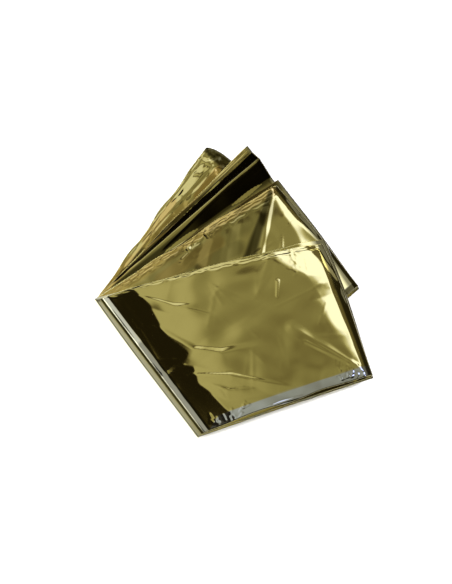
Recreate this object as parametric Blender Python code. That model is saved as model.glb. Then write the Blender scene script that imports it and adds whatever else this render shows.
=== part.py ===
"""Emergency foil blanket, folded into a strip, zigzagged into leaves and fanned out.

The blanket is one metallised film, 1.6 m by 2.1 m.  Its long side is folded into a
strip about 105 mm wide, and the strip goes back and forth in twelve leaves, which
are fanned out about their left corner on a flat surface.  Tables are in
millimetres, the mesh in metres, +Z up, origin under the middle of the fan.
"""
from math import hypot, log, pi, sin

import bmesh
import bpy
from numpy import interp

MM = 0.001

# The pressed bundle of film plies that makes one leaf, and the rise to the next leaf.
LEAF_THICKNESS = 1.0
LEAF_PITCH = 1.4
FOLD_BULGE = 0.7

# Middle of the fan in the plan of the tables, which becomes the origin.
MIDDLE_X = 3.96
MIDDLE_Y = 1.37

# A leaf lies flat over the leaves below it, and droops to the surface beyond them.
FLAT_MARGIN = 2.0
DROOP_REACH = 95.0

# Film on the outside of the folded strip.
FILM_GOLD = (0.79, 0.66, 0.17, 1.0)
FILM_ROUGHNESS = 0.16

# Fold lines of the zigzag, from the loose end on top to the loose end underneath.
# head and foot are the ends of the line, bow is how far it bulges outwards, and
# bow_at is the share of its length where the bulge is widest.
FOLD_LINES = [
    # side, head_x, head_y, foot_x, foot_y, bow, bow_at
    ("left", -76.5, -9.7, -13.5, -94.2, 0.0, 0.50),
    ("right", 60.0, 25.5, 89.0, -58.5, 1.2, 0.35),
    ("left", -77.6, -9.4, -14.2, -94.5, 0.0, 0.50),
    ("right", 61.5, 30.3, 89.7, -58.7, 0.8, 0.40),
    ("left", -81.4, -8.2, -16.6, -95.8, 0.6, 0.40),
    ("right", 32.2, 67.7, 82.5, 0.9, 0.8, 0.45),
    ("left", -81.8, -7.5, -17.8, -93.0, 0.4, 0.60),
    ("right", 33.2, 73.2, 83.3, 0.4, 0.6, 0.50),
    ("left", -82.0, -6.8, -17.0, -87.0, 0.0, 0.50),
    ("right", 13.5, 97.5, 66.0, 19.0, 1.0, 0.45),
    ("left", -82.0, -6.0, -13.0, -80.0, 0.0, 0.50),
    ("right", -13.0, 98.3, 41.0, 38.0, 5.5, 0.25),
    ("left", -81.5, -5.5, -9.0, -75.0, 0.0, 0.50),
]

# How far the middle of a leaf stands proud of its edges, with the width of the
# rounding along each of its four sides.
CROWNS = [
    # leaf, height, left, right, head, foot
    (2, 0.6, 26.0, 22.0, 16.0, 16.0),
    (7, 0.4, 30.0, 22.0, 16.0, 16.0),
    (9, 0.4, 30.0, 16.0, 8.0, 16.0),
    (11, 1.2, 30.0, 14.0, 7.0, 30.0),
]

# The two front leaves are puffed up, and fall away at their sides in creased slopes.
PUFF_RISE = {1: 5.0, 5: 2.8}
PUFF_ROOT = 90.0
HEAD_SLOPE, HEAD_WIDTH = 0.25, 5.0

# Slope at the left of the front leaf, whose crease zigzags, and its turned-down lip.
LEFT_SLOPE = 0.24
LIP_SLOPE, LIP_WIDTH = 0.85, 3.8
LEFT_CREASE = [
    # share along the side from its head, width of the slope
    (0.00, 15.0), (0.10, 18.4), (0.21, 19.5), (0.36, 17.1), (0.43, 16.6), (0.58, 20.5),
    (0.62, 13.5), (0.67, 18.3), (0.76, 14.3), (0.84, 16.7), (0.97, 18.5), (1.02, 20.0),
]

# At the right a gentle wedge, and beside the fold a steep band.
WEDGE_SLOPE, BAND_SLOPE = 0.16, 0.55
RIGHT_CREASE = {
    # leaf: rows of share along the side from its head, width of the wedge, of the band
    1: [
        (0.00, 33.0, 3.6), (0.12, 27.0, 4.2), (0.22, 17.0, 5.2), (0.30, 13.0, 5.4), (0.39, 19.0, 5.2),
        (0.52, 15.0, 4.9), (0.66, 10.8, 4.7), (0.95, 5.2, 4.2), (1.00, 4.4, 4.0),
    ],
    5: [
        (0.00, 5.0, 3.6), (0.10, 7.0, 4.4), (0.30, 9.0, 4.6), (0.60, 13.0, 0.6), (0.70, 12.0, 1.5),
        (1.00, 10.0, 3.0),
    ],
}

# Main creases, each a straight ridge that lifts its leaf and the leaves above it, from
# a near end at the left to a far end.  The widths of its flanks at the far end shrink
# to near_part of them at the near end.  At its left the film stays up by left_up of it.
CREASES = [
    # leaf, near_x, near_y, near_height, far_x, far_y, far_height,
    #     left_width, right_width, near_part, left_up
    (10, -76.0, -2.0, 0.2, 25.5, 91.0, 6.3, 8.0, 14.0, 0.14, 0.28),
    (11, -60.0, 24.0, 0.4, -6.0, 90.0, 1.6, 6.0, 6.0, 0.5, 0.0),
]

# Unevenness of the long edges, where the plies of the strip don't lie flush.
EDGE_WAVES = {
    # leaf: (height, waves, phase)
    1: (0.6, 2.3, 0.4),
    3: (0.7, 3.1, 1.9),
    5: (0.8, 2.7, 2.6),
    7: (0.7, 3.6, 0.8),
    9: (0.6, 2.2, 1.2),
    11: (1.0, 3.3, 2.1),
}
EDGE_WAVE_DEPTH = 0.12

# Steps along a leaf, closer at its folds, and rows across it.
LEAVES = len(FOLD_LINES) - 1
SHOWN_STEPS = {1: 28, 5: 22, 9: 20, 11: 20}
HIDDEN_STEPS = 12
STEP_CROWDING = 0.3
FOLD_STEPS = 4
ROWS = (0.0, 0.04, 0.09, 0.14, 0.19, 0.25, 0.34, 0.48, 0.64, 0.80, 0.94, 1.0)
OUTLINE_STEPS = 4


def smooth(t):
    """Soft step from 0 to 1."""
    t = min(1.0, max(0.0, t))
    return t * t * (3.0 - 2.0 * t)


def fold_outward(index):
    """Level direction that points out of the leaves, square to a fold line."""
    side, hx, hy, fx, fy = FOLD_LINES[index][:5]
    length = hypot(fx - hx, fy - hy)
    out_x, out_y = (hy - fy) / length, (fx - hx) / length
    return (out_x, out_y) if side == "right" else (-out_x, -out_y)


def fold_point(index, v):
    """Plan point at share v of a fold line, from its head to its foot."""
    hx, hy, fx, fy, bow, bow_at = FOLD_LINES[index][1:]
    out_x, out_y = fold_outward(index)
    swell = bow * sin(pi * v ** (log(0.5) / log(bow_at)))
    return hx + (fx - hx) * v + out_x * swell, hy + (fy - hy) * v + out_y * swell


def leaf_point(leaf, s, v):
    """Plan point of a leaf at share s along the zigzag and v across the strip."""
    ax, ay = fold_point(leaf - 1, v)
    bx, by = fold_point(leaf, v)
    x, y = ax + (bx - ax) * s, ay + (by - ay) * s
    if leaf in EDGE_WAVES:
        height, waves, phase = EDGE_WAVES[leaf]
        fade = smooth(1.0 - v / EDGE_WAVE_DEPTH) - smooth(1.0 - (1.0 - v) / EDGE_WAVE_DEPTH)
        lift = height * sin(2.0 * pi * waves * s + phase) * sin(pi * s) * fade
        y += lift
        x -= 0.4 * lift
    return x, y


def leaf_outline(leaf):
    """Corner points of a leaf's plan, going round."""
    shares = [i / OUTLINE_STEPS for i in range(OUTLINE_STEPS + 1)]
    return [fold_point(leaf - 1, v) for v in shares] + [fold_point(leaf, v) for v in reversed(shares)]


OUTLINES = {leaf: leaf_outline(leaf) for leaf in range(1, LEAVES + 1)}


def distance_to_line(x, y, ax, ay, bx, by):
    """Distance from a point to a stretch of line, and the share along it."""
    dx, dy = bx - ax, by - ay
    share = ((x - ax) * dx + (y - ay) * dy) / (dx * dx + dy * dy)
    share = min(1.0, max(0.0, share))
    return hypot(x - ax - dx * share, y - ay - dy * share), share


def distance_outside(leaf, x, y):
    """Distance from a point to a leaf's plan, 0 inside it."""
    outline = OUTLINES[leaf]
    inside = False
    nearest = None
    for (ax, ay), (bx, by) in zip(outline, outline[1:] + outline[:1]):
        gap = distance_to_line(x, y, ax, ay, bx, by)[0]
        nearest = gap if nearest is None else min(nearest, gap)
        if (ay > y) != (by > y) and x < ax + (bx - ax) * (y - ay) / (by - ay):
            inside = not inside
    return 0.0 if inside else nearest


def leaf_sides(leaf):
    """Left, right, head and foot sides of a leaf, each with the leaf at its right."""
    left_line, right_line = (leaf - 1, leaf) if leaf % 2 else (leaf, leaf - 1)
    left_head, left_foot = fold_point(left_line, 0.0), fold_point(left_line, 1.0)
    right_head, right_foot = fold_point(right_line, 0.0), fold_point(right_line, 1.0)
    return [(left_foot, left_head), (right_head, right_foot),
            (left_head, right_head), (right_foot, left_foot)]


def inward(side, x, y):
    """Distance of a point inwards from one side of a leaf."""
    (ax, ay), (bx, by) = side
    return ((bx - ax) * (ay - y) - (by - ay) * (ax - x)) / hypot(bx - ax, by - ay)


def along(side, x, y):
    """Share of a point along one side of a leaf, from its first end."""
    (ax, ay), (bx, by) = side
    return ((x - ax) * (bx - ax) + (y - ay) * (by - ay)) / ((bx - ax) ** 2 + (by - ay) ** 2)


def crown(row, x, y):
    """Rise of a leaf's padded middle over its edges."""
    leaf, rise = row[:2]
    for side, width in zip(leaf_sides(leaf), row[2:]):
        rise *= smooth(inward(side, x, y) / width)
    return rise


def puff(leaf, x, y):
    """Rise of one of the two front leaves over a flat one."""
    left_side, right_side, head_side = leaf_sides(leaf)[:3]
    left, right, head = (inward(side, x, y) for side in (left_side, right_side, head_side))
    shares, wedges, bands = zip(*RIGHT_CREASE[leaf])
    down = along(right_side, x, y)
    wedge, band = interp(down, shares, wedges), interp(down, shares, bands)
    drop = WEDGE_SLOPE * max(0.0, wedge - right)
    drop += (BAND_SLOPE - WEDGE_SLOPE) * max(0.0, band - right)
    drop += HEAD_SLOPE * max(0.0, HEAD_WIDTH - head)
    if leaf == 1:
        width = interp(1.0 - along(left_side, x, y), *zip(*LEFT_CREASE))
        drop += LEFT_SLOPE * max(0.0, width - left)
        drop += LIP_SLOPE * max(0.0, LIP_WIDTH - left) ** 2 / (2.0 * LIP_WIDTH)
    else:
        drop += PUFF_RISE[leaf] * (1.0 - smooth(left / PUFF_ROOT))
    return max(0.0, PUFF_RISE[leaf] - drop)


def crease(row, x, y):
    """Rise of one straight ridge over the film at its right."""
    ax, ay, near_height, bx, by, far_height, left_width, right_width, near_part, left_up = row[1:]
    gap, share = distance_to_line(x, y, ax, ay, bx, by)
    at_left = (bx - ax) * (y - ay) > (by - ay) * (x - ax)
    width = (left_width if at_left else right_width) * (near_part + (1.0 - near_part) * share)
    height = near_height + (far_height - near_height) * share
    return height * (1.0 - min(1.0, gap / width) * (1.0 - left_up * at_left))


def leaf_height(leaf, x, y):
    """Height of the middle of a leaf over the surface, in plan at x, y."""
    z = LEAF_THICKNESS / 2.0
    for below in range(leaf + 1, LEAVES + 1):
        gap = distance_outside(below, x, y) - FLAT_MARGIN
        z += LEAF_PITCH * (1.0 - smooth(gap / DROOP_REACH))
    z += sum(crown(row, x, y) for row in CROWNS if row[0] >= leaf)
    z += sum(puff(puffed, x, y) for puffed in PUFF_RISE if puffed >= leaf)
    z += sum(crease(row, x, y) for row in CREASES if row[0] >= leaf)
    return z


def fold_columns(index):
    """Points round one fold, between the leaf above it and the leaf below it."""
    out_x, out_y = fold_outward(index)
    columns = []
    for step in range(1, FOLD_STEPS):
        turn = pi * step / FOLD_STEPS
        column = []
        for v in ROWS:
            x, y = fold_point(index, v)
            top, bottom = leaf_height(index, x, y), leaf_height(index + 1, x, y)
            level, half = (top + bottom) / 2.0, (top - bottom) / 2.0
            reach = FOLD_BULGE * sin(turn)
            rise = half * sin(pi / 2.0 - turn)
            column.append((x + out_x * reach, y + out_y * reach, level + rise))
        columns.append(column)
    return columns


def blanket_columns():
    """All cross lines of the strip, from its loose end on top to the one below."""
    columns = []
    for leaf in range(1, LEAVES + 1):
        steps = SHOWN_STEPS.get(leaf, HIDDEN_STEPS)
        for step in range(steps + 1):
            s = step / steps - STEP_CROWDING * sin(2.0 * pi * step / steps) / (2.0 * pi)
            column = []
            for v in ROWS:
                x, y = leaf_point(leaf, s, v)
                column.append((x, y, leaf_height(leaf, x, y)))
            columns.append(column)
        if leaf < LEAVES:
            columns.extend(fold_columns(leaf))
    return columns


def make_blanket():
    """The folded and fanned strip as one sheet with a real thickness."""
    bm = bmesh.new()
    grid = [[bm.verts.new(((x - MIDDLE_X) * MM, (y - MIDDLE_Y) * MM, z * MM)) for x, y, z in column]
            for column in blanket_columns()]
    for here, following in zip(grid, grid[1:]):
        for row in range(len(ROWS) - 1):
            bm.faces.new((here[row], here[row + 1], following[row + 1], following[row]))
    mesh = bpy.data.meshes.new("foil_blanket")
    bm.to_mesh(mesh)
    bm.free()
    mesh.shade_smooth()

    film = bpy.data.materials.new("gold_film")
    film.use_nodes = True
    shader = film.node_tree.nodes["Principled BSDF"]
    shader.inputs["Base Color"].default_value = FILM_GOLD
    shader.inputs["Roughness"].default_value = FILM_ROUGHNESS
    shader.inputs["Metallic"].default_value = 1.0
    mesh.materials.append(film)

    blanket = bpy.data.objects.new("foil_blanket", mesh)
    bpy.context.collection.objects.link(blanket)
    wall = blanket.modifiers.new("leaf thickness", "SOLIDIFY")
    wall.thickness = LEAF_THICKNESS * MM
    wall.offset = 0.0
    return blanket


for old in list(bpy.data.objects):
    bpy.data.objects.remove(old, do_unlink=True)

make_blanket()
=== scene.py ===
"""Emergency foil blanket in gold film, folded, zigzagged into leaves and fanned out."""

from math import cos, log, pi, radians, sin

import bpy
import numpy as np
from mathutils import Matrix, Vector


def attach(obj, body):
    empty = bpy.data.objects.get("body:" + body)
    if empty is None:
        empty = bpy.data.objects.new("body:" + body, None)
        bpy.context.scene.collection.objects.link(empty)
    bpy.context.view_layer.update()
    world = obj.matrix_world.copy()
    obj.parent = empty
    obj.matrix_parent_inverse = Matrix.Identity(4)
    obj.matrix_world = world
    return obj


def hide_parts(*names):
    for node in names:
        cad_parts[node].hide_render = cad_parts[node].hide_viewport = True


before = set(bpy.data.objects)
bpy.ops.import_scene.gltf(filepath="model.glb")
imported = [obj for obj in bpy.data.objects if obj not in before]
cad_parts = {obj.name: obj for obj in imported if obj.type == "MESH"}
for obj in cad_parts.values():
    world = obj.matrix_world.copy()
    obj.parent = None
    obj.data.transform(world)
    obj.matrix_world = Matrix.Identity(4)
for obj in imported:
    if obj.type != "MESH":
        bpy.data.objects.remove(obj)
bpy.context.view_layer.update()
bpy.ops.object.select_all(action="DESELECT")

# The blanket: one film, gold outside and silver inside, folded by machine into a
# strip about 105 mm wide.  The strip goes back and forth in twelve leaves, which lie
# on each other at the left and are fanned out to the right.  Tables in millimetres.
MM = 0.001
LEAF_THICKNESS = 0.8
LEAF_PITCH = 1.4
SOLID_THICKNESS = 1.0
FOLD_BULGE = 0.7
MIDDLE_X = 3.96
MIDDLE_Y = 1.37
FLAT_MARGIN = 2.0
DROOP_REACH = 95.0
BOW_POWER = 1.7

# Fold lines from the loose end on top to the loose end underneath: the two ends, how
# far the line bulges outwards, and the share of its length where it does so most.
FOLD_LINES = [
    # side, head_x, head_y, foot_x, foot_y, bow, bow_at
    ("left", -76.5, -9.7, -13.5, -94.2, 0.0, 0.50),
    ("right", 60.0, 25.5, 89.0, -58.5, 1.2, 0.35),
    ("left", -77.6, -9.4, -14.2, -94.5, 0.0, 0.50),
    ("right", 61.5, 30.3, 89.7, -58.7, 0.8, 0.40),
    ("left", -81.4, -8.2, -16.6, -95.8, 0.6, 0.40),
    ("right", 32.2, 67.7, 82.5, 0.9, 0.8, 0.45),
    ("left", -81.8, -7.5, -17.8, -93.0, 0.4, 0.60),
    ("right", 33.2, 73.2, 83.3, 0.4, 0.6, 0.50),
    ("left", -82.0, -6.8, -17.0, -87.0, 0.0, 0.50),
    ("right", 13.5, 97.5, 66.0, 19.0, 1.0, 0.45),
    ("left", -82.0, -6.0, -13.0, -80.0, 0.0, 0.50),
    ("right", -13.0, 98.3, 41.0, 38.0, 5.5, 0.25),
    ("left", -81.5, -5.5, -9.0, -75.0, 0.0, 0.50),
]
LEAVES = len(FOLD_LINES) - 1

# Unevenness of the long edges, where the plies of the strip don't lie flush.
EDGE_WAVES = {
    # leaf: (height, waves, phase)
    1: (0.6, 2.3, 0.4),
    3: (0.7, 3.1, 1.9),
    5: (0.8, 2.7, 2.6),
    7: (0.7, 3.6, 0.8),
    9: (0.6, 2.2, 1.2),
    11: (1.0, 3.3, 2.1),
}
EDGE_WAVE_DEPTH = 0.12
EDGE_WAVE_ASIDE = 0.4


def smooth(t):
    """Soft step from 0 to 1."""
    t = np.clip(t, 0.0, 1.0)
    return t * t * (3.0 - 2.0 * t)


def fold_outward(index):
    """Level direction out of the leaves, square to a fold line."""
    side, hx, hy, fx, fy = FOLD_LINES[index][:5]
    length = np.hypot(fx - hx, fy - hy)
    out = np.array(((hy - fy) / length, (fx - hx) / length))
    return out if side == "right" else -out


def fold_point(index, v):
    """Plan points at shares v of a fold line."""
    hx, hy, fx, fy, bow, bow_at = FOLD_LINES[index][1:]
    out = fold_outward(index)
    swell = bow * np.sin(pi * np.asarray(v) ** (log(0.5) / log(bow_at))) ** BOW_POWER
    return hx + (fx - hx) * v + out[0] * swell, hy + (fy - hy) * v + out[1] * swell


def leaf_point(leaf, s, v):
    """Plan points of a leaf at shares s along the zigzag and v across the strip."""
    ax, ay = fold_point(leaf - 1, v)
    bx, by = fold_point(leaf, v)
    x, y = ax + (bx - ax) * s, ay + (by - ay) * s
    if leaf in EDGE_WAVES:
        height, waves, phase = EDGE_WAVES[leaf]
        fade = smooth(1.0 - v / EDGE_WAVE_DEPTH) - smooth(1.0 - (1.0 - v) / EDGE_WAVE_DEPTH)
        lift = height * np.sin(2.0 * pi * waves * s + phase) * np.sin(pi * s) * fade
        x, y = x - EDGE_WAVE_ASIDE * lift, y + lift
    return x, y


OUTLINE_STEPS = 4


def leaf_outline(leaf):
    """Corner points of a leaf's plan, going round."""
    shares = [i / OUTLINE_STEPS for i in range(OUTLINE_STEPS + 1)]
    return ([fold_point(leaf - 1, v) for v in shares]
            + [fold_point(leaf, v) for v in reversed(shares)])


OUTLINES = {leaf: leaf_outline(leaf) for leaf in range(1, LEAVES + 1)}


def distance_to_line(x, y, ax, ay, bx, by):
    """Distance from points to a stretch of line, and the share along it."""
    dx, dy = bx - ax, by - ay
    share = np.clip(((x - ax) * dx + (y - ay) * dy) / (dx * dx + dy * dy), 0.0, 1.0)
    return np.hypot(x - ax - dx * share, y - ay - dy * share), share


def distance_outside(leaf, x, y):
    """Distance from points to a leaf's plan, 0 inside it."""
    outline = OUTLINES[leaf]
    inside = np.zeros(x.shape, bool)
    nearest = np.full(x.shape, 1e9)
    for (ax, ay), (bx, by) in zip(outline, outline[1:] + outline[:1]):
        nearest = np.minimum(nearest, distance_to_line(x, y, ax, ay, bx, by)[0])
        crosses = ((ay > y) != (by > y)) & (x < ax + (bx - ax) * (y - ay) / (by - ay + 1e-12))
        inside ^= crosses
    return np.where(inside, 0.0, nearest)


def leaf_sides(leaf):
    """Lines of a leaf's left, right, head and foot sides, each with the leaf at its left."""
    left_line, right_line = (leaf - 1, leaf) if leaf % 2 else (leaf, leaf - 1)
    left_head, left_foot = fold_point(left_line, 0.0), fold_point(left_line, 1.0)
    right_head, right_foot = fold_point(right_line, 0.0), fold_point(right_line, 1.0)
    return [(left_foot, left_head), (right_head, right_foot),
            (left_head, right_head), (right_foot, left_foot)]


def inward(line, x, y):
    """Signed distance of points inwards from one side of a leaf."""
    (ax, ay), (bx, by) = line
    return ((bx - ax) * (ay - y) - (by - ay) * (ax - x)) / np.hypot(bx - ax, by - ay)


# Padded middle of a leaf: its rise, and the width of the rounding along each side.
CROWNS = [
    # leaf, height, left, right, head, foot
    (2, 0.6, 26.0, 22.0, 16.0, 16.0),
    (7, 0.4, 30.0, 22.0, 16.0, 16.0),
    (9, 0.4, 30.0, 16.0, 8.0, 16.0),
    (11, 0.8, 30.0, 14.0, 7.0, 30.0),
]

# Main creases: straight ridges that also lift the leaves above.  The flanks have
# widths that shrink to near_part of them at the near end, and at the left the film
# stays up by a share left_up of the ridge.
CREASES = [
    # leaf, near_x, near_y, near_height, far_x, far_y, far_height,
    #     left_half, right_half, near_part, left_up
    (10, -76.0, -2.0, 0.2, 25.5, 91.0, 6.3, 8.0, 14.0, 0.14, 0.28),
    (11, -60.0, 24.0, 0.1, -6.0, 90.0, 0.2, 6.0, 6.0, 0.5, 0.0),
]


def crown(row, x, y):
    """Rise of a leaf's padded middle over its edges."""
    rise = row[1]
    for line, width in zip(leaf_sides(row[0]), row[2:]):
        rise = rise * smooth(inward(line, x, y) / width)
    return rise


def crease(row, x, y):
    """Rise of one straight ridge, with flanks of different widths."""
    ax, ay, near_height, bx, by, far_height, left_half, right_half, near_part, left_up = row[1:]
    gap, share = distance_to_line(x, y, ax, ay, bx, by)
    at_left = (bx - ax) * (y - ay) > (by - ay) * (x - ax)
    half = np.where(at_left, left_half, right_half) * (near_part + (1.0 - near_part) * share)
    height = near_height + (far_height - near_height) * share
    return height * (1.0 - np.minimum(1.0, gap / half) * np.where(at_left, 1.0 - left_up, 1.0))


# The two front leaves that show most: puffed panels that fall away in creased slopes.
PUFF_RISE = {1: 5.0, 5: 2.8}
PUFF_LEFT = 90.0
PUFF_SPACE = 1.7
PUFF_SPACE_SIDES = (60.0, 16.0, 14.0)
# Where the slope at the left begins: share along the left side, width of the slope.
LEFT_CREASE = [
    (0.00, 15.0), (0.10, 18.4), (0.21, 19.5), (0.36, 17.1), (0.43, 16.6), (0.58, 20.5),
    (0.62, 13.5), (0.67, 18.3), (0.76, 14.3), (0.84, 16.7), (0.97, 18.5), (1.02, 20.0),
]
LEFT_SLOPE = 0.20
LIP_WIDTH = 3.4
LIP_SLOPE = 0.45
# Where the slopes at the right begin: share along the side, width of the wedge that
# falls gently and of the band that falls steeply.
RIGHT_CREASE = {
    1: [
        (0.00, 33.0, 3.6), (0.12, 27.0, 4.2), (0.22, 17.0, 5.2), (0.30, 13.0, 5.4), (0.39, 19.0, 5.2),
        (0.52, 15.0, 4.9), (0.66, 10.8, 4.7), (0.95, 5.2, 4.2), (1.00, 4.4, 4.0),
    ],
    5: [
        (0.00, 5.0, 3.6), (0.10, 7.0, 4.4), (0.30, 9.0, 4.6), (0.60, 13.0, 0.6), (0.70, 12.0, 1.5),
        (1.00, 10.0, 3.0),
    ],
}
WEDGE_SLOPE = 0.16
WEDGE_BEND = {1: 3.5, 5: 1.0}
BAND_SLOPE = 0.55
BAND_BEND = 0.5
LEFT_BEND = 0.7
LIP_BEND = 0.4
# The slope along the head: its width at the right, its slope, and the share of that
# width which it has at the left.
HEAD_DROP = {1: (4.4, 0.21, 0.35), 5: (5.0, 0.08, 0.6)}
# Where the silver face shows: widths along the foot of both leaves, and the share of the
# front leaf's foot where it starts.  How silver its left lip is painted, a painted highlight tint for the
# pale light mirrored at its rounding.
SILVER_FOOT = {1: 5.8, 5: 3.4}
SILVER_FROM = 0.02
SILVER_RAMP = 0.10
SILVER_LEAST = 0.5
LIP_HIGHLIGHT_SILVER = 0.6
FILM_EDGE = 0.8


def along_side(line, x, y):
    """Share of points along one side of a leaf, from its first end."""
    (ax, ay), (bx, by) = line
    return ((x - ax) * (bx - ax) + (y - ay) * (by - ay)) / ((bx - ax) ** 2 + (by - ay) ** 2)


def bend(reach, radius):
    """0 before a crease and the distance past it after, rounded over a radius on both sides."""
    return np.where(np.abs(reach) < radius, (reach + radius) ** 2 / (4.0 * radius),
                    np.maximum(0.0, reach))


def past_left_crease(x, y):
    """Distance of points past the zigzag crease at the left of the front leaf."""
    line = leaf_sides(1)[0]
    return inward(line, x, y) - np.interp(1.0 - along_side(line, x, y), *zip(*LEFT_CREASE))


def puffed_rise(leaf, x, y):
    """Rise of one of the two front leaves over a flat one."""
    left_line, right_line, head_line = leaf_sides(leaf)[:3]
    left, right, head = (inward(line, x, y) for line in (left_line, right_line, head_line))
    shares, wedges, bands = zip(*RIGHT_CREASE[leaf])
    down = along_side(right_line, x, y)
    wedge, band = np.interp(down, shares, wedges), np.interp(down, shares, bands)
    drop = WEDGE_SLOPE * bend(wedge - right, WEDGE_BEND[leaf])
    drop += (BAND_SLOPE - WEDGE_SLOPE) * bend(band - right, BAND_BEND)
    full_width, slope, start = HEAD_DROP[leaf]
    head_width = full_width * (start + (1.0 - start) * along_side(head_line, x, y))
    drop += slope * np.maximum(0.0, head_width - head)
    if leaf == 1:
        drop += LEFT_SLOPE * bend(-past_left_crease(x, y), LEFT_BEND)
        drop += LIP_SLOPE * bend(LIP_WIDTH - left, LIP_BEND)
    else:
        drop += PUFF_RISE[leaf] * (1.0 - smooth(left / PUFF_LEFT))
    return np.maximum(0.0, PUFF_RISE[leaf] - drop)


def space_over(x, y):
    """Space between the second puffed leaf and the leaves above, away from its sides."""
    space = PUFF_SPACE
    for line, width in zip(leaf_sides(5), PUFF_SPACE_SIDES):
        space = space * smooth(inward(line, x, y) / width)
    return space


def within(width, depth):
    """1 up to a width inwards from a side and 0 beyond, over a narrow soft edge."""
    return 1.0 - smooth((depth - width) / FILM_EDGE + 0.5)


def silver_and_shade_end(x, y):
    """1 at the foot of the second puffed leaf, where the silver face shows; there it is mostly painted
    shade.
    """
    return within(SILVER_FOOT[5], inward(leaf_sides(5)[3], x, y))


def silver_share(x, y):
    """1 where the front leaf shows the film's silver face at its foot, and at its left lip, where silver
    is a painted highlight tint.
    """
    left_line, foot_line = leaf_sides(1)[0], leaf_sides(1)[3]
    # painted highlight: the gold lip is painted partly silver, so the light mirrored at its rounding
    # shows pale mint
    lip = within(LIP_WIDTH - FILM_EDGE / 4.0, inward(left_line, x, y))
    width = SILVER_FOOT[1] * smooth((1.0 - along_side(foot_line, x, y) - SILVER_FROM) / SILVER_RAMP)
    strip = within(width, inward(foot_line, x, y))
    return np.maximum(LIP_HIGHLIGHT_SILVER * lip, np.where(width > SILVER_LEAST, strip, 0.0))


# Plies that show side by side along the head of a leaf, as ribs.
PLY_RIBS = {
    # leaf: (width of the band at the right, number of ribs, height)
    1: (5.6, 4, 0.08),
    3: (5.6, 4, 0.09),
    5: (4.0, 3, 0.09),
    7: (6.0, 4, 0.10),
    9: (6.8, 6, 0.12),
    11: (2.6, 1, 0.05),
}
# The ribs are narrower and lower at the left, wander along the head, and end softly.
RIB_WIDTH_LEFT = 0.22
RIB_HEIGHT_LEFT = 0.35
RIB_WANDER = 0.35
RIB_EVEN = 0.65
RIB_END = 0.85
RIB_END_SOFT = 0.3


def ply_ribs(leaf, x, y):
    """Ribs of the plies that show along the head of a leaf, narrower towards the left."""
    band, ribs, height = PLY_RIBS[leaf]
    head_line = leaf_sides(leaf)[2]
    share = np.clip(along_side(head_line, x, y), 0.0, 1.0)
    width = band * (RIB_WIDTH_LEFT + (1.0 - RIB_WIDTH_LEFT) * share)
    wander = RIB_WANDER * np.sin(17.0 * share + leaf) * np.sin(41.0 * share + 2.0 * leaf)
    place = inward(head_line, x, y) / width
    phase = place * ribs + wander
    rib = 1.0 - np.abs(2.0 * (phase - np.floor(phase)) - 1.0)
    uneven = RIB_EVEN + (1.0 - RIB_EVEN) * np.sin(63.0 * share + 3.0 * phase.round() + leaf)
    tall = height * (RIB_HEIGHT_LEFT + (1.0 - RIB_HEIGHT_LEFT) * share)
    return tall * rib * uneven * (1.0 - smooth((place - RIB_END) / RIB_END_SOFT))


# Broad soft waves of the film, by leaf: number of waves and height of each.
SOFT_WAVES = {1: (7, 0.12), 5: (6, 0.14), 9: (4, 0.08), 11: (5, 0.10)}
WAVE_LENGTHS = (13.0, 34.0)
WAVE_BEND = 0.05


def soft_waves(leaf, x, y):
    """Broad waves that cross each other, from 0 upwards."""
    count, height = SOFT_WAVES[leaf]
    random = np.random.default_rng(20 + leaf)
    rise = np.zeros(x.shape)
    for _ in range(count):
        turn, size, phase = random.random(3)
        length = WAVE_LENGTHS[0] + (WAVE_LENGTHS[1] - WAVE_LENGTHS[0]) * size
        place = (x * cos(pi * turn) + y * sin(pi * turn)) / length + phase
        bent = np.sin(WAVE_BEND * y + phase * 9.0)
        rise += height * (length / WAVE_LENGTHS[1]) * (1.0 + np.sin(2.0 * pi * place + bent))
    return rise


# Creases in the film of the leaves that show, by leaf, as short straight ridges.
FILM_CREASES = {
    1: [
        # near_x, near_y, far_x, far_y, half width at near, at far, height
        (32.0, -1.6, 31.4, -12.0, 1.5, 0.8, 0.45),
        (-62.5, -14.6, -51.1, -29.5, 1.8, 1.8, 0.09),
        (-53.1, -30.5, -41.7, -50.0, 2.0, 2.0, 0.10),
        (-49.5, -49.3, -27.5, -50.5, 0.9, 0.9, 0.10),
        (-58.0, -24.0, -50.0, -40.0, 1.6, 1.6, 0.08),
        (-30.0, -66.0, -24.0, -78.0, 1.6, 1.6, 0.10),
        (49.4, 14.2, 50.5, 5.6, 0.9, 0.9, 0.16),
        (51.5, -7.5, 59.7, -1.6, 0.9, 0.9, 0.14),
        (31.0, -18.0, 51.5, -7.5, 0.9, 0.9, 0.10),
        (56.7, -28.8, 61.9, -14.6, 1.0, 1.0, 0.14),
        (48.5, -39.7, 83.6, -56.8, 2.4, 1.2, 0.30),
        (40.0, -31.0, 82.0, -55.0, 5.0, 1.6, 0.35),
        (69.8, -47.4, 69.4, -60.6, 1.0, 1.0, 0.14),
        (67.6, -48.0, 67.0, -60.6, 0.9, 0.9, 0.12),
        (20.0, -8.0, 26.0, 12.0, 6.0, 4.0, 0.25),
    ],
    5: [
        (2.0, 41.0, 7.0, 37.0, 1.4, 1.0, 0.30),
        (50.0, 50.0, 40.0, 40.0, 1.2, 1.2, 0.15),
    ],
    9: [
        (-40.0, 27.0, 10.0, 78.0, 1.2, 1.6, 0.25),
    ],
    11: [
        (-48.0, 38.0, -42.0, 48.0, 2.0, 2.0, 0.40),
        (-17.0, 90.0, -1.0, 83.0, 2.4, 3.0, 0.60),
        (-20.0, 80.0, -7.0, 79.0, 2.0, 2.4, 0.45),
        (-12.0, 96.0, -4.0, 88.0, 2.0, 2.0, 0.50),
        (-30.0, 64.0, -14.0, 70.0, 2.0, 2.0, 0.40),
    ],
}

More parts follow.
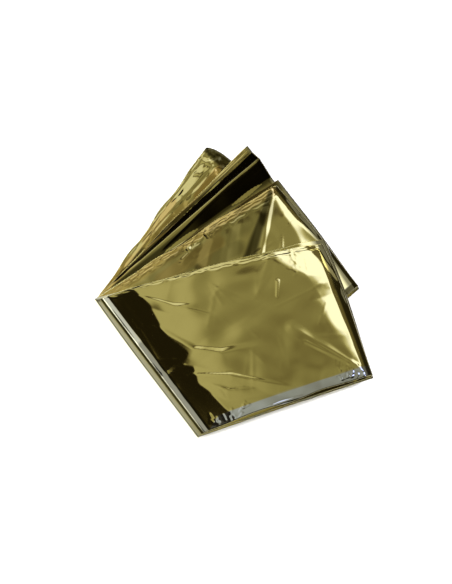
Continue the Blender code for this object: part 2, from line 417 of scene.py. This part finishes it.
# Long sharp folds in the film, as ridges with a left and a right flank of their own.
FILM_FOLDS = {
    1: [
        # near_x, near_y, far_x, far_y, left, right, height at near, left, right, height at far
        (-41.0, -31.0, -19.6, -44.8, 2.0, 8.0, 0.20, 3.0, 10.0, 0.80),
        (-19.6, -44.8, -3.1, -47.4, 3.0, 10.0, 0.80, 3.5, 12.0, 0.90),
        (-3.1, -47.4, 24.0, -42.0, 3.5, 12.0, 0.90, 4.0, 12.0, 0.0),
        (-51.5, -10.7, -32.2, -17.2, 1.2, 5.0, 0.15, 1.8, 6.0, 0.60),
        (-32.2, -17.2, -17.0, -17.2, 1.8, 6.0, 0.60, 1.4, 4.0, 0.0),
        (-32.2, -17.2, -4.0, -25.0, 1.8, 6.0, 0.60, 2.0, 6.0, 0.0),
        (-33.0, -50.0, -14.0, -49.9, 1.2, 3.0, 0.30, 1.2, 3.0, 0.0),
        (-20.7, -60.0, 3.7, -61.2, 1.4, 6.0, 0.30, 2.2, 8.0, 0.85),
        (3.7, -61.2, 42.0, -68.6, 2.2, 8.0, 0.85, 1.6, 6.0, 0.0),
        (-14.0, -64.0, 1.2, -70.0, 1.2, 5.0, 0.10, 1.8, 6.0, 0.60),
        (1.2, -70.0, 28.0, -67.8, 1.8, 6.0, 0.60, 1.4, 5.0, 0.0),
        (22.0, -81.6, 34.0, -77.4, 0.9, 0.9, 0.10, 1.4, 0.9, 0.70),
        (34.0, -77.4, 46.0, -73.3, 1.4, 0.9, 0.70, 0.9, 0.9, 0.10),
    ],
    5: [
        (19.1, 5.0, 31.8, 71.0, 9.0, 3.0, 1.05, 3.0, 1.2, 0.40),
        (-12.5, 33.0, -7.5, 28.0, 3.0, 1.4, 1.00, 2.2, 1.2, 0.3),
        (-24.0, 23.5, -19.5, 19.0, 2.8, 1.3, 0.90, 2.0, 1.2, 0.3),
        (-9.4, 30.8, 3.2, 46.6, 2.0, 6.0, 0.40, 1.6, 3.0, 0.15),
        (-27.0, 16.4, -18.9, 25.1, 1.8, 4.0, 0.30, 2.2, 4.0, 0.65),
        (6.3, 3.0, 11.8, 65.0, 8.0, 10.0, 0.8, 4.0, 5.0, 0.3),
        (-16.0, -2.0, -3.0, 50.0, 8.0, 9.0, 0.8, 4.0, 4.0, 0.2),
        (35.4, 22.0, 35.6, 37.5, 2.4, 1.0, 0.50, 0.6, 0.3, 0.0),
    ],
    9: [
        (-54.0, 22.6, -38.0, 39.0, 2.0, 1.0, 0.30, 2.4, 1.0, 0.60),
    ],
    11: [
        (-46.0, 42.0, -8.0, 86.0, 4.0, 1.6, 0.35, 5.0, 2.0, 0.50),
        (-48.0, 36.0, -35.0, 51.0, 3.0, 3.0, 0.40, 3.0, 3.0, 0.60),
        (-24.5, 60.0, -6.8, 82.5, 2.6, 3.4, 0.45, 3.0, 3.4, 0.60),
        (-62.0, 16.0, -50.0, 34.0, 3.0, 0.8, 0.30, 3.0, 0.8, 0.50),
    ],
}

# Fine crumples: how many on each leaf that shows, the longest, and the highest.
CRUMPLES = {
    # leaf: (count, longest, half width, highest, seed of the random draws)
    1: (60, 30.0, 2.4, 0.07, 3),
    3: (30, 14.0, 1.6, 0.12, 4),
    5: (70, 26.0, 2.2, 0.12, 5),
    7: (40, 14.0, 1.6, 0.14, 6),
    9: (70, 20.0, 1.8, 0.14, 7),
    11: (110, 18.0, 1.9, 0.28, 8),
}

# Crinkled lines along the head of the leaves, where plies end.
HEAD_LINES = {
    # leaf: rows of distance from the head, wander, half width, height
    1: [(1.5, 0.5, 0.7, 0.16), (3.6, 0.8, 0.8, 0.14)],
    5: [(1.2, 0.4, 0.6, 0.16), (3.0, 0.6, 0.7, 0.18), (5.2, 0.8, 0.8, 0.18),
        (7.6, 1.0, 0.9, 0.15)],
    9: [(1.3, 0.15, 0.6, 0.13), (2.9, 0.2, 0.6, 0.13), (4.5, 0.2, 0.6, 0.11)],
    11: [(1.6, 0.4, 0.7, 0.14)],
}

# Crumpled patches: short sharp creases that lie every way.
PATCHES = {
    # leaf: rows of centre_x, centre_y, radius, creases, length, half width, height, seed
    11: [(-8.0, 88.0, 9.0, 26, 5.0, 0.9, 0.30, 2), (-24.0, 62.0, 9.0, 16, 5.0, 0.9, 0.25, 4),
         (-44.0, 38.0, 8.0, 14, 4.0, 0.8, 0.22, 6)],
    7: [(20.0, 62.0, 8.0, 16, 3.5, 0.7, 0.16, 8), (0.0, 47.0, 9.0, 16, 3.5, 0.7, 0.16, 9),
        (-26.0, 30.0, 10.0, 16, 3.5, 0.7, 0.16, 10)],
    1: [(40.0, 10.0, 12.0, 12, 6.0, 0.8, 0.14, 15), (76.0, -61.0, 9.0, 18, 5.0, 0.9, 0.26, 17),
        (6.0, -85.0, 7.0, 10, 6.0, 0.9, 0.22, 18), (-6.0, -88.0, 5.0, 10, 4.0, 0.9, 0.22, 19)],
}

# Sharpness of the creases and crumples, from 1 for a straight flank to 2 for a hollow one.
CREASE_POWER = 1.3
CRUMPLE_POWER = 1.6
HEAD_LINE_LEFT = 0.4
# The front leaf is taut over its slope at the left: share of the waves and crumples that
# is left there, where they start to grow, and over what width.
TAUT_SHARE = 0.12
TAUT_START = 2.0
TAUT_WIDTH = 22.0


def folds_and_creases(leaf, x, y):
    """Rise of the sharp folds and short creases of a leaf, the higher one where two meet."""
    rise = np.zeros(x.shape)
    for ax, ay, bx, by, left_a, right_a, high_a, left_b, right_b, high_b in FILM_FOLDS.get(leaf, ()):
        gap, share = distance_to_line(x, y, ax, ay, bx, by)
        at_left = (bx - ax) * (y - ay) > (by - ay) * (x - ax)
        left, right = left_a + (left_b - left_a) * share, right_a + (right_b - right_a) * share
        flank = np.maximum(0.0, 1.0 - gap / np.where(at_left, left, right))
        rise = np.maximum(rise, (high_a + (high_b - high_a) * share) * flank)
    for ax, ay, bx, by, half_a, half_b, height in FILM_CREASES.get(leaf, ()):
        gap, share = distance_to_line(x, y, ax, ay, bx, by)
        half = half_a + (half_b - half_a) * share
        rise = np.maximum(rise, height * np.maximum(0.0, 1.0 - gap / half) ** CREASE_POWER)
    return rise


def crumpled_patches(leaf, x, y):
    """Rise of the crumpled patches of a leaf."""
    rise = np.zeros(x.shape)
    for cx, cy, radius, count, length, half, height, seed in PATCHES.get(leaf, ()):
        random = np.random.default_rng(seed)
        for _ in range(count):
            away, turn, lie, size = random.random(4)
            ax = cx + radius * away * cos(2.0 * pi * turn)
            ay = cy + radius * away * sin(2.0 * pi * turn)
            bx, by = ax + length * size * cos(pi * lie), ay + length * size * sin(pi * lie)
            gap = distance_to_line(x, y, ax, ay, bx, by)[0]
            rise += height * (0.4 + 0.6 * size) * np.maximum(0.0, 1.0 - gap / half)
    return rise


def fine_crumples(leaf, x, y):
    """Rise of the fine crumples of a leaf, which lie every way and run out at both ends."""
    rise = np.zeros(x.shape)
    count, length, half, height, seed = CRUMPLES[leaf]
    random = np.random.default_rng(seed)
    outline = np.array(OUTLINES[leaf])
    low, high = outline.min(axis=0), outline.max(axis=0)
    for _ in range(count):
        ax, ay = low + (high - low) * random.random(2)
        turn, size, tall = random.random(3)
        reach = length * (0.3 + 0.7 * size)
        bx, by = ax + reach * cos(pi * turn), ay + reach * sin(pi * turn)
        gap, share = distance_to_line(x, y, ax, ay, bx, by)
        flank = np.maximum(0.0, 1.0 - gap / half) ** CRUMPLE_POWER
        rise += height * (0.3 + 0.7 * tall) * np.sin(pi * share) ** 0.5 * flank
    return rise


def head_lines(leaf, x, y):
    """Rise of the crinkled lines along the head of a leaf, closer together at the left."""
    rise = np.zeros(x.shape)
    head_line = leaf_sides(leaf)[2]
    head, share = inward(head_line, x, y), along_side(head_line, x, y)
    for place, wander, half, height in HEAD_LINES.get(leaf, ()):
        line = place * (HEAD_LINE_LEFT + (1.0 - HEAD_LINE_LEFT) * share)
        line = line + wander * np.sin(27.0 * share + place) * np.sin(71.0 * share)
        rise += height * np.maximum(0.0, 1.0 - np.abs(head - line) / half)
    return rise


def film_relief(leaf, x, y):
    """Rise of all that shows in the film of one leaf."""
    rise = np.zeros(x.shape)
    if leaf in SOFT_WAVES:
        rise += soft_waves(leaf, x, y)
    if leaf in CRUMPLES:
        rise += fine_crumples(leaf, x, y)
    if leaf == 1:
        loose = smooth((past_left_crease(x, y) + TAUT_START) / TAUT_WIDTH)
        rise *= TAUT_SHARE + (1.0 - TAUT_SHARE) * loose
    rise += folds_and_creases(leaf, x, y) + crumpled_patches(leaf, x, y) + head_lines(leaf, x, y)
    if leaf in PLY_RIBS:
        rise += ply_ribs(leaf, x, y)
    return rise


def leaf_height(leaf, x, y):
    """Height of the middle of a leaf over the surface."""
    z = np.full(x.shape, SOLID_THICKNESS / 2.0)
    for below in range(leaf + 1, LEAVES + 1):
        gap = distance_outside(below, x, y) - FLAT_MARGIN
        z += LEAF_PITCH * (1.0 - smooth(gap / DROOP_REACH))
    for row in CROWNS:
        if row[0] >= leaf:
            z += crown(row, x, y)
    for row in CREASES:
        if row[0] >= leaf:
            z += crease(row, x, y)
    for puffed in PUFF_RISE:
        if puffed >= leaf:
            z += puffed_rise(puffed, x, y)
    if leaf < 5:
        z += space_over(x, y)
    return z + film_relief(leaf, x, y)


# Steps of the mesh: along each leaf that shows, round a fold, and across the strip, where
# rows lie closest in a band along its two long edges and then in the part that shows.
LEAF_STEPS = {1: 190, 3: 30, 5: 130, 7: 30, 9: 50, 11: 80}
HIDDEN_STEPS = 8
FOLD_STEPS = 5
BAND_ROWS = 16
PANEL_ROWS = 104
BAND_SHARE = 0.065
OPEN_ROWS = 66
OPEN_SHARE = 0.42
UNDER_ROWS = 8


def across_shares(leaf):
    """Shares across the strip for the rows of a leaf, closer together where it shows."""
    band = np.linspace(0.0, BAND_SHARE, BAND_ROWS, endpoint=False)
    if leaf == 1:
        panel = np.linspace(BAND_SHARE, 1.0 - BAND_SHARE, PANEL_ROWS)
    else:
        shown = np.linspace(BAND_SHARE, OPEN_SHARE, OPEN_ROWS, endpoint=False)
        panel = np.append(shown, np.linspace(OPEN_SHARE, 1.0 - BAND_SHARE, PANEL_ROWS - OPEN_ROWS))
    return np.concatenate((band, panel, 1.0 - band[::-1]))


def strip_middle():
    """Middle surface of the whole strip as an array of cross lines by rows by x, y, z."""
    lines = []
    for leaf in range(1, LEAVES + 1):
        steps = LEAF_STEPS.get(leaf, HIDDEN_STEPS)
        s = np.linspace(0.0, 1.0, steps + 1)[:, None]
        first, last = across_shares(max(1, leaf - 1)), across_shares(leaf)
        x, y = leaf_point(leaf, s, first + (last - first) * s)
        lines.append(np.stack((x, y, leaf_height(leaf, x, y)), axis=-1))
        if leaf < LEAVES:
            x, y = fold_point(leaf, last)
            out = fold_outward(leaf)
            top, bottom = leaf_height(leaf, x, y), leaf_height(leaf + 1, x, y)
            turns = [pi * step / FOLD_STEPS for step in range(1, FOLD_STEPS)]
            lines.append(np.stack([np.stack((
                x + out[0] * FOLD_BULGE * sin(turn),
                y + out[1] * FOLD_BULGE * sin(turn),
                (top + bottom) / 2.0 + (top - bottom) / 2.0 * cos(turn)), axis=-1)
                for turn in turns]))
    return np.concatenate(lines)


# Painted reflection: where the film is painted a warmer brown, standing in for its plies mirroring each
# other: lines by leaf.
WARM_REFLECTION_LINES = {
    # leaf: rows of ax, ay, bx, by, half width, most
    11: [(-1.0, 87.0, -18.0, 64.0, 4.0, 1.0), (-26.0, 58.0, -60.0, 20.0, 3.6, 0.6),
         (-52.0, 34.0, -34.0, 60.0, 3.0, 0.8), (-60.0, 20.0, -80.0, -5.0, 5.0, 0.9)],
    7: [(-78.0, -4.0, 32.0, 73.5, 3.6, 1.0)],
    9: [(-80.0, -2.0, -20.0, 60.0, 5.0, 0.9), (-20.0, 60.0, 12.0, 94.0, 3.0, 0.3)],
    5: [(-78.0, -6.0, 30.0, 64.0, 4.5, 0.7), (-4.0, 44.0, -14.0, 14.0, 5.0, 0.5),
        (-78.0, -7.0, -30.0, 25.0, 7.0, 0.5), (-40.0, 4.0, -5.0, 28.0, 6.0, 0.6)],
}
# Painted shade: where the film is painted darker, standing in for the shadows between the leaves and the
# dark it mirrors.
SHADE_LINES = {
    # leaf: rows of ax, ay, bx, by, half width at a, at b, most
    1: [(61.5, 22.0, 68.5, -4.0, 3.4, 3.0, 0.80), (-52.0, -40.0, -12.1, -93.2, 3.0, 4.0, 0.50)],
    7: [(-78.0, -5.0, 34.0, 73.0, 5.0, 9.0, 0.80)],
    11: [(-53.0, 27.0, -74.5, -1.0, 2.4, 2.4, 0.70)],
    9: [(-70.0, 2.0, 29.0, 80.0, 2.0, 9.0, 0.92), (-77.6, 0.0, 23.8, 92.8, 1.0, 3.4, 0.92),
        (-80.0, 2.0, 21.6, 95.2, 1.0, 4.2, 0.92), (-73.8, -4.6, 28.0, 88.4, 1.0, 4.0, 0.90)],
    5: [(-60.0, -8.0, 24.0, 50.0, 6.0, 12.0, 0.36),
        (63.9, 23.6, 79.0, 1.4, 1.8, 4.6, 0.85), (-30.0, 2.0, 6.0, 24.0, 8.0, 9.0, 0.45),
        (28.4, 62.0, 14.2, 16.0, 2.4, 6.0, 0.93), (9.5, 50.0, -1.0, 16.0, 4.0, 6.5, 0.40),
        (-6.0, 38.0, -22.0, 8.0, 4.0, 7.0, 0.42), (-28.0, 22.0, -46.0, 4.0, 3.0, 5.0, 0.42)],
}
# How sharply a line's tone ends: the higher, the wider its even middle.
WARM_REFLECTION_CORE = 2.0
SHADE_CORE = 1.6
# Folds and edges painted darker, as painted shade for the shade of the leaf above, and ones that show
# some silver.
RIGHT_SHADE = 0.95
EDGE_SHADE = {1: 2.2, 3: 6.0, 5: 1.8, 7: 1.4, 11: 2.2}
EDGE_FADE = 1.2
LEFT_SHADE = 0.85
LEFT_SILVER = 0.45
RIM_WIDTH = 5.0
FOOT_SHADE = 0.85
FOOT_SILVER = 0.9
FOOT_WIDTH = 4.0
END_SILVER = 0.1


def film_marks(middle, ring):
    """Shares of silver, painted shade and painted warm reflection, from 0 to 1, at the points of the
    strip.
    """
    rows = middle.shape[1]
    silver, shade, warm_reflection = (np.zeros((len(middle), ring)) for _ in range(3))
    start = 0
    for leaf in range(1, LEAVES + 1):
        end = start + LEAF_STEPS.get(leaf, HIDDEN_STEPS) + 1
        x, y = middle[start:end, :, 0], middle[start:end, :, 1]
        leaf_silver, leaf_shade, leaf_warm_reflection = (marks[start:end, :rows] for marks in (silver, shade, warm_reflection))
        left_line, right_line, _, foot_line = leaf_sides(leaf)
        if leaf == 1:
            leaf_silver[:] = silver_share(x, y)
        # painted shade: the silver foot of the second puffed leaf is painted nearly black, with a little
        # silver
        elif leaf == 5:
            leaf_silver[:] = END_SILVER * silver_and_shade_end(x, y)
            leaf_shade[:] = silver_and_shade_end(x, y)
        elif leaf < 5:
            leaf_silver[:] = FOOT_SILVER * smooth((FOOT_WIDTH - inward(foot_line, x, y)) / FILM_EDGE)
        if leaf == 4:
            rim = LEFT_SILVER * smooth(RIM_WIDTH - inward(left_line, x, y))
            leaf_silver[:] = np.maximum(leaf_silver, rim)
        # painted shade along the right edges, in the shade of the leaf above
        if leaf in EDGE_SHADE:
            past = inward(right_line, x, y) - EDGE_SHADE[leaf]
            leaf_shade[:] = np.maximum(leaf_shade, RIGHT_SHADE * (1.0 - smooth(past / EDGE_FADE)))
        # painted shade along the shade lines
        for ax, ay, bx, by, half_a, half_b, most in SHADE_LINES.get(leaf, ()):
            gap, share = distance_to_line(x, y, ax, ay, bx, by)
            depth = smooth(SHADE_CORE * (1.0 - gap / (half_a + (half_b - half_a) * share)))
            leaf_shade[:] = np.maximum(leaf_shade, most * depth)
        # painted reflection: warm brown where plies mirror each other
        for ax, ay, bx, by, half, most in WARM_REFLECTION_LINES.get(leaf, ()):
            gap = distance_to_line(x, y, ax, ay, bx, by)[0]
            leaf_warm_reflection[:] = np.maximum(leaf_warm_reflection, most * smooth(WARM_REFLECTION_CORE * (1.0 - gap / half)))
        # painted shade on the rounded foot of every leaf, so its edge reads dark
        shade[start:end, rows - 1:rows + 3] = FOOT_SHADE
        # painted shade on the right folds and on the left fold under the front leaf; the other left folds
        # show some silver
        fold = slice(end - 1, end + FOLD_STEPS)
        if leaf % 2:
            shade[fold] = RIGHT_SHADE
        elif leaf == 2:
            shade[fold] = LEFT_SHADE
        else:
            silver[fold] = LEFT_SILVER
        start = end + FOLD_STEPS - 1
    return {"silver": silver, "shade": shade, "warm_reflection": warm_reflection}


def strip_mesh():
    """Closed mesh of the strip: upper face, rounded foot, lower face, rounded head."""
    middle = strip_middle()
    along = np.gradient(middle, axis=0)
    across = np.gradient(middle, axis=1)
    normal = np.cross(across, along)
    normal /= np.linalg.norm(normal, axis=-1, keepdims=True)
    reach = across / np.linalg.norm(across, axis=-1, keepdims=True)
    half = LEAF_THICKNESS / 2.0
    rows = middle.shape[1]
    under = np.linspace(rows - 1, 0, UNDER_ROWS).round().astype(int)
    loops = [middle[:, row] + normal[:, row] * half for row in range(rows)]
    for turn in (pi / 4.0, pi / 2.0, 3.0 * pi / 4.0):
        up, out = half * cos(turn), half * sin(turn)
        loops.append(middle[:, -1] + normal[:, -1] * up + reach[:, -1] * out)
    loops += [middle[:, row] - normal[:, row] * half for row in under]
    for turn in (3.0 * pi / 4.0, pi / 2.0, pi / 4.0):
        up, out = half * cos(turn), half * sin(turn)
        loops.append(middle[:, 0] + normal[:, 0] * up - reach[:, 0] * out)
    points = np.stack(loops, axis=1) - (MIDDLE_X, MIDDLE_Y, 0.0)
    columns, ring = points.shape[:2]
    index = np.arange(columns * ring).reshape(columns, ring)
    after = np.roll(index, -1, axis=1)
    quads = np.stack((index[:-1], index[1:], after[1:], after[:-1]), axis=-1).reshape(-1, 4)
    faces = [tuple(q) for q in quads.tolist()]
    faces += [tuple(index[0].tolist()), tuple(index[-1][::-1].tolist())]
    mesh = bpy.data.meshes.new("foil_sheet")
    mesh.from_pydata((points.reshape(-1, 3) * MM).tolist(), [], faces)
    mesh.update()
    for name, values in film_marks(middle, ring).items():
        mesh.attributes.new(name, "FLOAT", "POINT").data.foreach_set("value", values.ravel())
    return mesh


sheet_mesh = strip_mesh()
sheet_mesh.shade_smooth()
foil = bpy.data.objects.new("foil_sheet", sheet_mesh)
bpy.context.collection.objects.link(foil)

# The film: polyester with a mirror coat of aluminium under gold lacquer.  Where its back
# shows it is silver, and deep between the leaves and at its dark edges it is painted near black, as
# painted shade.
FILM_GOLD = (0.86, 0.745, 0.21, 1.0)
FILM_TONES = [
    # mark, colour
    # painted reflection: warm brown where plies mirror each other
    ("warm_reflection", (0.84, 0.60, 0.14, 1.0)),
    ("silver", (0.92, 0.98, 0.86, 1.0)),
    # painted shade: near-black brown standing in for shadows and dark reflections
    ("shade", (0.075, 0.062, 0.014, 1.0)),
]
FILM_ROUGHNESS = 0.1

gold = bpy.data.materials.new("gold_film")
gold.use_nodes = True
shader = gold.node_tree.nodes["Principled BSDF"]
nodes, links = gold.node_tree.nodes, gold.node_tree.links
last = None
for name, colour in FILM_TONES:
    mask = nodes.new("ShaderNodeAttribute")
    mask.attribute_name = name
    tone = nodes.new("ShaderNodeMix")
    tone.data_type = "RGBA"
    tone.inputs["A"].default_value = FILM_GOLD
    if last:
        links.new(last, tone.inputs["A"])
    tone.inputs["B"].default_value = colour
    links.new(mask.outputs["Fac"], tone.inputs["Factor"])
    last = tone.outputs["Result"]
links.new(last, shader.inputs["Base Color"])
shader.inputs["Roughness"].default_value = FILM_ROUGHNESS
shader.inputs["Metallic"].default_value = 1.0
sheet_mesh.materials.append(gold)

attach(foil, "root")
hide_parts("foil_blanket")

# Plain white board under the blanket, large enough to fill the view.
BOARD_SIZE = 6.0
BOARD_TOP = -0.0002
BOARD_WHITE = (0.9, 0.9, 0.9, 1.0)
bpy.ops.mesh.primitive_plane_add(size=BOARD_SIZE, location=(0.0, 0.0, BOARD_TOP))
floor = bpy.context.object
floor.name = "table_top"
white = bpy.data.materials.new("white_board")
white.use_nodes = True
paint = white.node_tree.nodes["Principled BSDF"]
paint.inputs["Base Color"].default_value = BOARD_WHITE
paint.inputs["Roughness"].default_value = 0.9
floor.data.materials.append(white)

# Camera over the front of the fan, level from left to right.
CAMERA_ELEVATION = radians(72.0)
CAMERA_DISTANCE = 0.90
CAMERA_LENS = 87.37
aim = Vector((-MIDDLE_X * MM, -MIDDLE_Y * MM, 0.0))
camera = bpy.data.objects.new("camera", bpy.data.cameras.new("camera"))
bpy.context.collection.objects.link(camera)
camera.data.sensor_fit = "VERTICAL"
camera.data.sensor_height = 36.0
camera.data.lens = CAMERA_LENS
back = Vector((0.0, -cos(CAMERA_ELEVATION), sin(CAMERA_ELEVATION)))
camera.location = aim + CAMERA_DISTANCE * back
camera.rotation_euler = (pi / 2.0 - CAMERA_ELEVATION, 0.0, 0.0)
bpy.context.scene.camera = camera

# Soft rectangular lights over the board, aimed at the blanket, which doesn't mirror them.
LIGHTS = [
    # name, place on a ceiling one unit up: x, y, height, width, depth, power
    ("key", 0.75, 0.15, 2.0, 0.5, 0.9, 60.0),
    ("fill", -0.3, -0.2, 2.0, 1.6, 1.6, 60.0),
]
for name, ceiling_x, ceiling_y, height, width, depth, power in LIGHTS:
    data = bpy.data.lights.new(name, "AREA")
    data.shape = "RECTANGLE"
    data.size, data.size_y, data.energy = width, depth, power
    lamp = bpy.data.objects.new(name, data)
    bpy.context.collection.objects.link(lamp)
    lamp.location = (ceiling_x * height, ceiling_y * height, height)
    lamp.rotation_euler = Vector(lamp.location).to_track_quat("Z", "Y").to_euler()
    lamp.visible_glossy = False

# Studio surroundings: a grey card overhead, a bright window at the back right, and
# dark corners at the left and the front right, each placed by where it lies on a
# ceiling one unit above the blanket.
CARD = 0.235
WINDOW = 1.5
SKY = 0.45
WALL = 0.6
SHEEN = 0.75
DIM = 0.06
DUSK = 0.025
DARK = 0.012
BEAM = 0.09
OLIVE = 0.13
HORIZON = 0.75

# The zones, each over the ones before it: where its ramp starts and ends along a way over
# the ceiling, a second way that narrows it, and its brightness.
ZONES = [
    # way, start, end, second way, start, end, brightness
    ("left", -0.10, 0.30, None, 0.0, 0.0, SKY),
    ("back", 0.46, 0.53, "left", -0.26, -0.12, BEAM),
    ("back", 0.58, 0.66, None, 0.0, 0.0, SKY),
    ("front_left", 0.34, 0.48, None, 0.0, 0.0, DUSK),
    ("front_left", 0.50, 0.64, None, 0.0, 0.0, DARK),
    ("back_left", 0.72, 0.90, "back", 0.60, 0.70, SHEEN),
    ("back_left", 1.80, 2.00, None, 0.0, 0.0, DARK),
    ("front_right", 0.66, 0.78, None, 0.0, 0.0, DARK),
    ("front_left", 1.70, 2.00, None, 0.0, 0.0, WALL),
    ("front_right", 3.00, 5.00, None, 0.0, 0.0, DIM),
    ("right", 1.05, 1.35, None, 0.0, 0.0, OLIVE),
]
# The window: from, to and softness towards the back right and the right, and its foot.
WINDOW_BACK_RIGHT = (0.95, 2.8, 0.22)
WINDOW_RIGHT = (0.28, 1.20, 0.14)
WINDOW_FOOT = (0.08, 0.2)
# The bright floor under the horizon at the front, by how steeply it is seen.
FLOOR_DEPTH = (-0.30, -0.16)
FLOOR_FRONT = (-0.1, 0.1)
LEVEL_LIMIT = 0.02
FRONT_LEFT_TURN = -0.8
MOTTLE_SCALE = 2.2
MOTTLE_DETAIL = 1.5
MOTTLE_STRENGTH = 1.9
MOTTLE_LEAST = 0.05
# Colour of the surroundings by their brightness, from warm in the dark to cold in light.
TINTS = [
    # brightness, colour
    (0.0, (1.0, 0.80, 0.55, 1.0)),
    (0.25, (1.0, 0.97, 0.86, 1.0)),
    (0.65, (0.95, 0.96, 1.15, 1.0)),
    (1.0, (0.88, 0.95, 1.9, 1.0)),
]

world = bpy.data.worlds.new("studio")
bpy.context.scene.world = world
world.use_nodes = True
nodes, links = world.node_tree.nodes, world.node_tree.links


def number(operation, a, b=0.0, c=0.0):
    """A Math node on sockets or plain numbers."""
    node = nodes.new("ShaderNodeMath")
    node.operation = operation
    for socket, value in zip(node.inputs, (a, b, c)):
        if isinstance(value, bpy.types.NodeSocket):
            links.new(value, socket)
        else:
            socket.default_value = value
    return node.outputs[0]


def ramp(value, low, high):
    """Soft step of a socket from 0 at low to 1 at high."""
    node = nodes.new("ShaderNodeMapRange")
    node.interpolation_type = "SMOOTHSTEP"
    links.new(value, node.inputs["Value"])
    node.inputs["From Min"].default_value, node.inputs["From Max"].default_value = low, high
    return node.outputs["Result"]


def inside(value, low, high, edge):
    """1 between low and high, with soft edges."""
    return number("MULTIPLY", ramp(value, low - edge, low + edge),
                  number("SUBTRACT", 1.0, ramp(value, high - edge, high + edge)))


def blend_in(level, zone, value):
    """Takes the level to a value where the zone is 1."""
    return number("MULTIPLY_ADD", zone, number("SUBTRACT", value, level), level)


way = nodes.new("ShaderNodeTexCoord")
split = nodes.new("ShaderNodeSeparateXYZ")
links.new(way.outputs["Generated"], split.inputs[0])
up = number("MAXIMUM", split.outputs["Z"], LEVEL_LIMIT)
over_x = number("DIVIDE", split.outputs["X"], up)
over_y = number("DIVIDE", split.outputs["Y"], up)
to_left = number("MULTIPLY", over_x, -1.0)
ways = {
    "right": over_x,
    "left": to_left,
    "back": over_y,
    "back_left": number("SUBTRACT", over_y, over_x),
    "back_right": number("ADD", over_x, over_y),
    "front_right": number("SUBTRACT", over_x, over_y),
    "front_left": number("MULTIPLY_ADD", over_y, FRONT_LEFT_TURN, to_left),
}

mottle = nodes.new("ShaderNodeTexNoise")
mottle.inputs["Scale"].default_value = MOTTLE_SCALE
mottle.inputs["Detail"].default_value = MOTTLE_DETAIL
flat_way = nodes.new("ShaderNodeCombineXYZ")
links.new(over_x, flat_way.inputs["X"])
links.new(over_y, flat_way.inputs["Y"])
links.new(flat_way.outputs[0], mottle.inputs["Vector"])
mottled = number("MULTIPLY_ADD", mottle.outputs["Fac"], MOTTLE_STRENGTH, MOTTLE_LEAST)
level = number("MULTIPLY", CARD, mottled)

for along, start, end, across, across_start, across_end, brightness in ZONES:
    zone = ramp(ways[along], start, end)
    if across:
        zone = number("MULTIPLY", zone, ramp(ways[across], across_start, across_end))
    level = blend_in(level, zone, brightness)
window = number("MULTIPLY", inside(ways["back_right"], *WINDOW_BACK_RIGHT), inside(over_x, *WINDOW_RIGHT))
window = number("MULTIPLY", window, ramp(over_y, *WINDOW_FOOT))
level = blend_in(level, window, WINDOW)
below = number("MULTIPLY", split.outputs["Z"], -1.0)
front = number("MULTIPLY", split.outputs["Y"], -1.0)
bright_floor = number("MULTIPLY", ramp(below, *FLOOR_DEPTH), ramp(front, *FLOOR_FRONT))
level = blend_in(level, bright_floor, HORIZON)

tint = nodes.new("ShaderNodeValToRGB")
for end, (_, colour) in zip((0, 1), (TINTS[0], TINTS[-1])):
    tint.color_ramp.elements[end].color = colour
for brightness, colour in TINTS[1:-1]:
    tint.color_ramp.elements.new(brightness).color = colour
links.new(level, tint.inputs["Fac"])
links.new(tint.outputs["Color"], nodes["Background"].inputs["Color"])
links.new(level, nodes["Background"].inputs["Strength"])
bpy.context.scene.view_settings.view_transform = "Standard"
